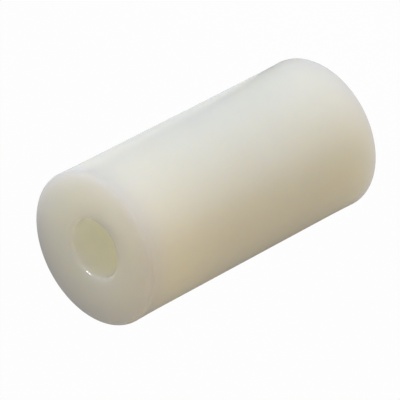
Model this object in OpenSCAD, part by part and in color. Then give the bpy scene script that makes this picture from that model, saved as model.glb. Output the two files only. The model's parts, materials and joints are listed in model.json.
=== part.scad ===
// Unthreaded round spacer: a plain tube in one piece, which a screw passes through.
// It stands on one end. Z runs along the bore, and the origin is the centre of the lower end.
// Both ends are alike: a flat ring, rounded at its outer edge and at the mouth of the bore.

/* [Body] */
// Outside diameter
outside_d = 10; // [8:0.5:20]
// Length from end face to end face
spacer_length = 20; // [3:0.5:60]

/* [Bore] */
// Diameter of the through bore, a clearance size for the screw
bore_d = 3.8; // [2.2:0.1:5.5]

/* [Edges] */
// Radius of the rounding round the outside of each end
outer_edge_r = 0.25; // [0.05:0.05:0.5]
// Radius of the rounding at each mouth of the bore
bore_mouth_r = 0.3; // [0.05:0.05:0.5]

/* [Look] */
// Colour of the natural nylon
nylon_colour = "ivory"; // [ivory, white, beige]

/* [Hidden] */
outside_r = outside_d / 2;
bore_r = bore_d / 2;
wall = outside_r - bore_r;
past = 1; // how far a cutter reaches past the surface that it cuts
$fn = 96;

// What a rounding of radius r takes off a corner at the origin, with the solid towards +X and +Y
module corner_waste(r) {
    difference() {
        translate([-past, -past]) square(r + past);
        translate([r, r]) circle(r = r);
    }
}

// Draws its children at the lower end, and their mirror image at the upper end
module at_both_ends() {
    children();
    translate([0, spacer_length]) mirror([0, 1]) children();
}

// Half section of the tube's wall: X is the distance from the bore's axis, and Y is the height
module wall_section() {
    difference() {
        translate([bore_r, 0]) square([wall, spacer_length]);
        at_both_ends() {
            translate([bore_r, 0]) corner_waste(bore_mouth_r);
            translate([outside_r, 0]) mirror([1, 0]) corner_waste(outer_edge_r);
        }
    }
}

module spacer() {
    color(nylon_colour) rotate_extrude(convexity = 4) wall_section();
}

spacer();
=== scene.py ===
import json
import math
import bpy
from mathutils import Matrix, Vector


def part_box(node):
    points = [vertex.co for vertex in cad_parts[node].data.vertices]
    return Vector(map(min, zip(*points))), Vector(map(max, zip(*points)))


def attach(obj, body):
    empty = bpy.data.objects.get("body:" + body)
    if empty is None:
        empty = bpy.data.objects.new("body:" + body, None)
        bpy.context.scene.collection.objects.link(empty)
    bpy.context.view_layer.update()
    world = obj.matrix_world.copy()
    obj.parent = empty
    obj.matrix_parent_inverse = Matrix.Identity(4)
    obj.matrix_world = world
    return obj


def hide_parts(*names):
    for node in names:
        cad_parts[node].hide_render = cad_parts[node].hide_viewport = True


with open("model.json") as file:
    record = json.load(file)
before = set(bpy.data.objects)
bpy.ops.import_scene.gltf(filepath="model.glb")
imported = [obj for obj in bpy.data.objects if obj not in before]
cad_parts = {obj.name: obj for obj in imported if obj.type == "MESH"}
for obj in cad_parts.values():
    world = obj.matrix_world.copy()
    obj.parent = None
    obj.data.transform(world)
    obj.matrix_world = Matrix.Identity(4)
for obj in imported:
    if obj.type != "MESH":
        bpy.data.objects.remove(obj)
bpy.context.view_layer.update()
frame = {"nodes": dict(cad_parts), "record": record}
print("frame loaded:", ", ".join(frame["nodes"]))


def mountNamed(name):
    return next(m for m in frame["record"]["mounts"] if m["name"] == name)


def findSocket(tree, name):  # a modifier's input goes by this, not by its name
    return next(s.identifier for s in tree.interface.items_tree if s.name == name and s.in_out == "INPUT")


def addNode(tree, kind, links=None, **settings):
    # links: input name or number -> a value, or another node's output socket
    node = tree.nodes.new(kind)
    for name, value in settings.items():
        setattr(node, name, value)
    for key, value in (links or {}).items():
        socket = node.inputs[key]
        if isinstance(value, bpy.types.NodeSocket):
            tree.links.new(value, socket)
        else:
            socket.default_value = value
    return node


def mathNode(tree, operation, *values):
    return addNode(tree, "ShaderNodeMath", dict(enumerate(values)), operation=operation).outputs[0]


# the spacer's body: a wall section swept round the bore

low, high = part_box("spacer")
bore = mountNamed("bore")["dims"]
spacerShape = {
    "Outside Radius": max(math.hypot(v.co.x, v.co.y) for v in frame["nodes"]["spacer"].data.vertices),
    "Bore Radius": bore["r_mm"] / 1000,
    "Length": high.z - low.z,
    "Edge Rounding": 0.00025,
    "Mouth Rounding": (high.z - low.z - bore["length_mm"] / 1000) / 2,
    "Rounding Steps": 10,
    "Steps Around": 240,
    "Step Along": 0.00035,
    "Sink": 0.000042,  # the outside shrinks by this between its ends, as a thick moulding does on cooling
    "Sink Reach": 0.0030,  # and takes this length from each end to come in
}


def bodyTree():
    tree = bpy.data.node_groups.new("spacerBody", "GeometryNodeTree")
    for name, value in spacerShape.items():
        kind = "NodeSocketInt" if isinstance(value, int) else "NodeSocketFloat"
        tree.interface.new_socket(name, in_out="INPUT", socket_type=kind)
    tree.interface.new_socket("Finish", in_out="INPUT", socket_type="NodeSocketMaterial")
    tree.interface.new_socket("Body", in_out="OUTPUT", socket_type="NodeSocketGeometry")
    given = addNode(tree, "NodeGroupInput").outputs

    # the wall section: a rectangle with four rounded corners, and points along its straight sides
    wall = mathNode(tree, "SUBTRACT", given["Outside Radius"], given["Bore Radius"])
    section = addNode(tree, "GeometryNodeCurvePrimitiveQuadrilateral", {
        "Width": wall, "Height": given["Length"]})
    place = addNode(tree, "GeometryNodeInputPosition").outputs[0]
    across = addNode(tree, "ShaderNodeSeparateXYZ", {0: place})
    outer = mathNode(tree, "GREATER_THAN", across.outputs["X"], 0.0)
    corner = addNode(tree, "GeometryNodeSwitch", {
        "Switch": outer, "False": given["Mouth Rounding"],
        "True": given["Edge Rounding"]}, input_type="FLOAT")
    rounded = addNode(tree, "GeometryNodeFilletCurve", {
        "Curve": section.outputs[0], "Count": given["Rounding Steps"],
        "Radius": corner.outputs[0]}, mode="POLY")
    following = addNode(tree, "GeometryNodeOffsetPointInCurve", {"Offset": 1}).outputs["Point Index"]
    nextPlace = addNode(tree, "GeometryNodeFieldAtIndex", {
        "Index": following, "Value": place}, data_type="FLOAT_VECTOR").outputs[0]
    side = addNode(tree, "ShaderNodeVectorMath", {
        0: place, 1: nextPlace}, operation="DISTANCE").outputs["Value"]
    cuts = addNode(tree, "FunctionNodeFloatToInt", {
        0: mathNode(tree, "DIVIDE", side, given["Step Along"])}, rounding_mode="FLOOR")
    stepped = addNode(tree, "GeometryNodeSubdivideCurve", {
        "Curve": rounded.outputs[0], "Cuts": cuts.outputs[0]})

    # the sink: nothing at the end faces and in the bore, and its full depth along most of the outside
    fromMiddle = mathNode(tree, "ABSOLUTE", across.outputs["Y"])
    fromEnd = mathNode(tree, "SUBTRACT", mathNode(tree, "MULTIPLY", given["Length"], 0.5), fromMiddle)
    untilFull = mathNode(tree, "DIVIDE", fromEnd, given["Sink Reach"])
    untilFull = mathNode(tree, "SUBTRACT", 1.0, mathNode(tree, "MINIMUM", untilFull, 1.0))
    depth = mathNode(tree, "SUBTRACT", 1.0, mathNode(tree, "POWER", untilFull, 2.0))
    outward = mathNode(tree, "DIVIDE", across.outputs["X"], wall)  # half on the outside, nothing at mid-wall
    outward = mathNode(tree, "MAXIMUM", outward, 0.0)
    sink = mathNode(tree, "MULTIPLY", mathNode(tree, "MULTIPLY", outward, -2.0), given["Sink"])
    inwards = addNode(tree, "ShaderNodeCombineXYZ", {"X": mathNode(tree, "MULTIPLY", sink, depth)}).outputs[0]
    sunk = addNode(tree, "GeometryNodeSetPosition", {"Geometry": stepped.outputs[0], "Offset": inwards})

    # the sweep round the bore's axis
    middle = mathNode(tree, "ADD", given["Outside Radius"], given["Bore Radius"])
    middle = mathNode(tree, "MULTIPLY", middle, 0.5)
    ring = addNode(tree, "GeometryNodeCurvePrimitiveCircle", {
        "Resolution": given["Steps Around"], "Radius": middle})
    swept = addNode(tree, "GeometryNodeCurveToMesh", {
        "Curve": ring.outputs[0], "Profile Curve": sunk.outputs[0]})
    lift = addNode(tree, "ShaderNodeCombineXYZ", {"Z": mathNode(tree, "MULTIPLY", given["Length"], 0.5)})
    stood = addNode(tree, "GeometryNodeTransform", {
        "Geometry": swept.outputs[0], "Translation": lift.outputs[0]})
    smooth = addNode(tree, "GeometryNodeSetShadeSmooth", {"Geometry": stood.outputs[0]})
    plain = addNode(tree, "GeometryNodeRealizeInstances", {"Geometry": smooth.outputs[0]})
    finished = addNode(tree, "GeometryNodeSetMaterial", {
        "Geometry": plain.outputs[0], "Material": given["Finish"]})
    addNode(tree, "NodeGroupOutput", {"Body": finished.outputs[0]})
    return tree


def makeBody(name, material):
    body = bpy.data.objects.new(name, bpy.data.meshes.new(name))
    bpy.context.scene.collection.objects.link(body)
    tree = bodyTree()
    modifier = body.modifiers.new("spacerBody", "NODES")
    modifier.node_group = tree
    for key, value in spacerShape.items():
        modifier[findSocket(tree, key)] = value
    modifier[findSocket(tree, "Finish")] = material
    bpy.context.view_layer.update()
    evaluated = body.evaluated_get(bpy.context.evaluated_depsgraph_get())
    mesh = bpy.data.meshes.new_from_object(evaluated)
    body.modifiers.remove(modifier)
    body.data = mesh
    mesh.name = name
    print("body built:", len(mesh.polygons), "faces")
    return body


# natural nylon: off-white, translucent, half glossy

nylonFinish = {
    "lit": (0.858, 0.818, 0.712, 1.0),  # the moulding's own colour
    "paintedBoreLight": (0.992, 0.965, 0.790, 1.0),  # painted light: in the bore, where light has crossed more of the plastic, a brighter and yellower colour stands in for that light
    "paintedRimShade": (0.800, 0.765, 0.705, 1.0),  # painted shade: darker and cooler near the ends' outer edges, where light leaks out of the translucent ends
    "paintedRimShadeWidth": 0.0020,
    "paintedBoreLightReach": 0.0034,
    "cloudSize": 0.004,
    "cloudDetail": 3.0,
    "cloudRoughness": 0.45,
    "cloudRange": (0.2, 0.8),  # the cloud noise that counts as none and as full
    "cloudDepth": 0.03,
    "glossiest": 0.17,  # both stay under 0.27, past which the sheen shows hard-edged patches
    "dullest": 0.24,
    "scatterRadius": (1.0, 0.87, 0.65),
    "scatterDepth": 0.010,
    "index": 1.53,
    "waveScale": 260.0,
    "waveDepth": 0.00002,
    "grainScale": 9000.0,
    "grainDepth": 0.000002,
    "surfaceDetail": 2.0,
}


def mixColours(tree, share, first, second, blend="MIX"):
    node = addNode(tree, "ShaderNodeMix", data_type="RGBA", blend_type=blend)
    for socket, value in ((node.inputs[0], share), (node.inputs[6], first), (node.inputs[7], second)):
        if isinstance(value, bpy.types.NodeSocket):
            tree.links.new(value, socket)
        else:
            socket.default_value = value
    return node.outputs[2]


def rangeNode(tree, value, start, stop, atStart, atStop):
    return addNode(tree, "ShaderNodeMapRange", {
        0: value, 1: start, 2: stop, 3: atStart, 4: atStop}, interpolation_type="SMOOTHSTEP").outputs[0]


def nylonMaterial():
    look = nylonFinish
    material = bpy.data.materials.new("naturalNylon")
    material.use_nodes = True
    tree = material.node_tree
    tree.nodes.clear()
    place = addNode(tree, "ShaderNodeTexCoord").outputs["Object"]
    parts = addNode(tree, "ShaderNodeSeparateXYZ", {0: place})
    flat = addNode(tree, "ShaderNodeCombineXYZ", {
        "X": parts.outputs["X"], "Y": parts.outputs["Y"]}).outputs[0]
    radius = addNode(tree, "ShaderNodeVectorMath", {0: flat}, operation="LENGTH").outputs["Value"]
    height = parts.outputs["Z"]
    length = spacerShape["Length"]
    fromEnd = mathNode(tree, "MINIMUM", height, mathNode(tree, "SUBTRACT", length, height))

    # colour: the body's own, with painted shade (darker, cooler) round the outer edges, painted light
    # (brighter, yellower) towards the bore, and faint clouds
    fromOutside = mathNode(tree, "SUBTRACT", spacerShape["Outside Radius"], radius)
    fromRim = mathNode(tree, "ADD", fromEnd, fromOutside)
    # painted shade: darker and cooler towards the ends' outer edges
    paintedRimShadeShare = rangeNode(tree, fromRim, 0.0, look["paintedRimShadeWidth"], 1.0, 0.0)
    boreEdge = spacerShape["Bore Radius"]
    # painted light: brighter and yellower from the face in towards the bore
    paintedBoreLightShare = rangeNode(tree, radius, boreEdge, boreEdge + look["paintedBoreLightReach"], 1.0, 0.0)
    colour = mixColours(tree, paintedRimShadeShare, look["lit"], look["paintedRimShade"])
    colour = mixColours(tree, paintedBoreLightShare, colour, look["paintedBoreLight"])
    clouds = addNode(tree, "ShaderNodeTexNoise", {
        "Vector": place, "Scale": 1 / look["cloudSize"], "Detail": look["cloudDetail"],
        "Roughness": look["cloudRoughness"]}).outputs[0]
    shade = rangeNode(tree, clouds, *look["cloudRange"], 1.0 - look["cloudDepth"], 1.0)
    grey = addNode(tree, "ShaderNodeCombineColor", {0: shade, 1: shade, 2: shade}).outputs[0]
    colour = mixColours(tree, 1.0, colour, grey, "MULTIPLY")

    # surface: slow waves from the mould and a fine grain, and a gloss that follows the clouds
    waves = addNode(tree, "ShaderNodeTexNoise", {
        "Vector": place, "Scale": look["waveScale"], "Detail": look["surfaceDetail"]}).outputs[0]
    grain = addNode(tree, "ShaderNodeTexNoise", {
        "Vector": place, "Scale": look["grainScale"], "Detail": look["surfaceDetail"]}).outputs[0]
    waved = addNode(tree, "ShaderNodeBump", {"Height": waves, "Strength": 1.0, "Distance": look["waveDepth"]})
    grained = addNode(tree, "ShaderNodeBump", {
        "Height": grain, "Strength": 1.0, "Distance": look["grainDepth"], "Normal": waved.outputs[0]})
    rough = rangeNode(tree, clouds, *look["cloudRange"], look["glossiest"], look["dullest"])

    shader = addNode(tree, "ShaderNodeBsdfPrincipled", {
        "Base Color": colour, "Roughness": rough, "IOR": look["index"],
        "Subsurface Weight": 1.0, "Subsurface Radius": look["scatterRadius"],
        "Subsurface Scale": look["scatterDepth"], "Normal": grained.outputs[0]})
    addNode(tree, "ShaderNodeOutputMaterial", {"Surface": shader.outputs[0]})
    return material


bodyPiece = makeBody("spacer_body", nylonMaterial())
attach(bodyPiece, "root")
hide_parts("spacer")
print("nylon laid on")

# the camera looks down at the upper end, turned so that the bore's axis runs to the lower left

pictureSide = 400
cameraSetup = {
    "azimuth": 0.0,
    "elevation": 38.9,
    "roll": -117.65,
    "focalPixels": 4810.0,
    "distance": 0.2888,  # along the view, to the centre of the upper end face
    "endCentre": (93.3, 249.5),  # where that centre falls in the picture, in pixels from the top left
    "sensorWidth": 36.0,
    "clip": (0.01, 20.0),
}


def viewAxes(azimuth, elevation, roll):
    a, e, r = (math.radians(x) for x in (azimuth, elevation, roll))
    back = Vector((math.sin(a) * math.cos(e), -math.cos(a) * math.cos(e), math.sin(e)))
    right = Vector((math.cos(a), math.sin(a), 0.0))
    up = back.cross(right)
    return right * math.cos(r) + up * math.sin(r), up * math.cos(r) - right * math.sin(r), back


def makeCamera():
    setup = cameraSetup
    right, up, back = viewAxes(setup["azimuth"], setup["elevation"], setup["roll"])
    data = bpy.data.cameras.new("camera")
    data.sensor_width = setup["sensorWidth"]
    data.lens = setup["focalPixels"] * data.sensor_width / pictureSide
    data.clip_start, data.clip_end = setup["clip"]
    camera = bpy.data.objects.new("camera", data)
    bpy.context.scene.collection.objects.link(camera)
    x = (setup["endCentre"][0] - pictureSide / 2) / setup["focalPixels"]
    y = (pictureSide / 2 - setup["endCentre"][1]) / setup["focalPixels"]
    target = Vector((0.0, 0.0, spacerShape["Length"]))
    stand = target - (right * x + up * y - back) * setup["distance"]
    turn = Matrix((right, up, back)).transposed().to_4x4()
    camera.matrix_world = Matrix.Translation(stand) @ turn
    bpy.context.scene.camera = camera


makeCamera()
print("camera set")

# floor, soft lights and surroundings

plainWhite = (1.0, 1.0, 1.0, 1.0)
studio = {
    "floorSize": 2.0,
    "floorDrop": 0.00001,  # so that the floor and the lower end face don't share a plane
    "floorColour": (0.80, 0.80, 0.80, 1.0),
    "floorWhite": {  # the share for diffuse rays is the light that a bright sweep throws back up
        "Is Camera Ray": 0.98, "Is Glossy Ray": 0.05, "Is Transmission Ray": 0.05, "Is Diffuse Ray": 0.484},
    "cardWhite": 0.80,
    "cardEdges": (100, 125, 148, 168),  # azimuths: where the card starts, is white, starts to fade, ends
    "backdropWhite": {"Is Camera Ray": 1.0, "Is Glossy Ray": 0.2, "Is Transmission Ray": 0.2},
    "surroundColour": (1.0, 0.96, 0.90, 1.0),
    "surroundStrength": 0.172,
    "softBoxDistance": 0.35,
}
softBoxes = {
    "key": {"azimuth": 60, "elevation": 5, "size": (0.19, 0.06), "power": 0.825,
            "colour": (0.83, 0.90, 1.0)},
    "fill": {"azimuth": -36, "elevation": 5, "size": (0.19, 0.06), "power": 0.232,
             "colour": (1.0, 0.64, 0.12)},
}
nearLights = {  # small lamps at the upper end: over its face, inside the bore, and one that glints on the lip
    "overFace": {"place": (0.003, -0.001, 0.029), "aim": (0.0, 0.0, 0.020), "size": (0.010, 0.010),
                 "power": 0.00035, "colour": (1.0, 0.91, 0.81), "spread": 180, "reflected": False},
    "inBore": {"place": (0.0, 0.0, 0.0155), "aim": (0.0, 0.0, 0.020), "size": (0.0024, 0.0024),
               "power": 0.000023, "colour": (1.0, 0.89, 0.64), "spread": 180, "reflected": False},
    "onLip": {"place": (0.00113, 0.00061, 0.02166), "aim": (-0.00105, 0.00168, 0.0199),
              "size": (0.0028, 0.0002), "power": 0.0000035, "colour": (1.0, 1.0, 1.0), "spread": 20,
              "reflected": True},
}


def sightShare(tree, shares):
    # how white a surface looks to each kind of ray
    path = addNode(tree, "ShaderNodeLightPath").outputs
    whitest = 0.0
    for name, share in shares.items():
        whitest = mathNode(tree, "MAXIMUM", whitest, mathNode(tree, "MULTIPLY", path[name], share))
    return whitest


def floorCard(tree):
    # a white card on the floor, a wedge with its point at the spacer, which only reflections see
    place = addNode(tree, "ShaderNodeTexCoord").outputs["Object"]
    parts = addNode(tree, "ShaderNodeSeparateXYZ", {0: place})
    towardsCamera = mathNode(tree, "MULTIPLY", parts.outputs["Y"], -1.0)
    azimuth = mathNode(tree, "ARCTAN2", parts.outputs["X"], towardsCamera)
    start, full, fading, end = (math.radians(x) for x in studio["cardEdges"])
    rising = rangeNode(tree, azimuth, start, full, 0.0, 1.0)
    falling = rangeNode(tree, azimuth, fading, end, 1.0, 0.0)
    seen = addNode(tree, "ShaderNodeLightPath").outputs["Is Glossy Ray"]
    return mathNode(tree, "MULTIPLY", mathNode(tree, "MULTIPLY", rising, falling), seen)


def makeFloor():
    half = studio["floorSize"] / 2
    mesh = bpy.data.meshes.new("floor")
    corners = [(-half, -half, 0), (half, -half, 0), (half, half, 0), (-half, half, 0)]
    mesh.from_pydata(corners, [], [(0, 1, 2, 3)])
    floor = bpy.data.objects.new("floor", mesh)
    floor.location.z = -studio["floorDrop"]
    bpy.context.scene.collection.objects.link(floor)
    material = bpy.data.materials.new("paleFloor")
    material.use_nodes = True
    tree = material.node_tree
    tree.nodes.clear()
    plain = addNode(tree, "ShaderNodeBsdfDiffuse", {"Color": studio["floorColour"]})
    white = addNode(tree, "ShaderNodeEmission", {"Color": plainWhite, "Strength": 1.0})
    share = sightShare(tree, studio["floorWhite"])
    card = mathNode(tree, "MULTIPLY", floorCard(tree), studio["cardWhite"])
    share = mathNode(tree, "MAXIMUM", share, card)
    mixed = addNode(tree, "ShaderNodeMixShader", {0: share, 1: plain.outputs[0], 2: white.outputs[0]})
    addNode(tree, "ShaderNodeOutputMaterial", {"Surface": mixed.outputs[0]})
    mesh.materials.append(material)


def makeLamp(name, look, place, away, shape):
    data = bpy.data.lights.new(name, "AREA")
    data.shape = shape
    data.size, data.size_y = look["size"]
    data.energy, data.color = look["power"], look["colour"]
    light = bpy.data.objects.new(name, data)
    bpy.context.scene.collection.objects.link(light)
    light.location = place
    light.rotation_euler = away.to_track_quat("Z", "Y").to_euler()
    light.visible_camera = False
    return light


def makeSoftBox(name, box):
    _, _, away = viewAxes(box["azimuth"], box["elevation"], 0.0)
    centre = Vector((0.0, 0.0, spacerShape["Length"] / 2))
    light = makeLamp(name, box, centre + away * studio["softBoxDistance"], away, "RECTANGLE")
    light.visible_glossy = False


def makeNearLight(name, look):
    # a small lamp near the end face: either all its light but the reflection, or the reflection alone
    place = Vector(look["place"])
    light = makeLamp(name, look, place, place - Vector(look["aim"]), "ELLIPSE")
    light.visible_glossy = look["reflected"]
    light.visible_diffuse = not look["reflected"]
    light.data.spread = math.radians(look["spread"])


def makeSurround():
    world = bpy.data.worlds.new("studio")
    bpy.context.scene.world = world
    world.use_nodes = True
    tree = world.node_tree
    tree.nodes.clear()
    soft = addNode(tree, "ShaderNodeBackground", {
        "Color": studio["surroundColour"], "Strength": studio["surroundStrength"]})
    white = addNode(tree, "ShaderNodeBackground", {"Color": plainWhite, "Strength": 1.0})
    share = sightShare(tree, studio["backdropWhite"])
    mixed = addNode(tree, "ShaderNodeMixShader", {0: share, 1: soft.outputs[0], 2: white.outputs[0]})
    addNode(tree, "ShaderNodeOutputWorld", {"Surface": mixed.outputs[0]})


makeFloor()
for name, box in softBoxes.items():
    makeSoftBox(name, box)
for name, look in nearLights.items():
    makeNearLight(name, look)
makeSurround()
bpy.context.scene.view_settings.view_transform = "Standard"
print("studio lit")
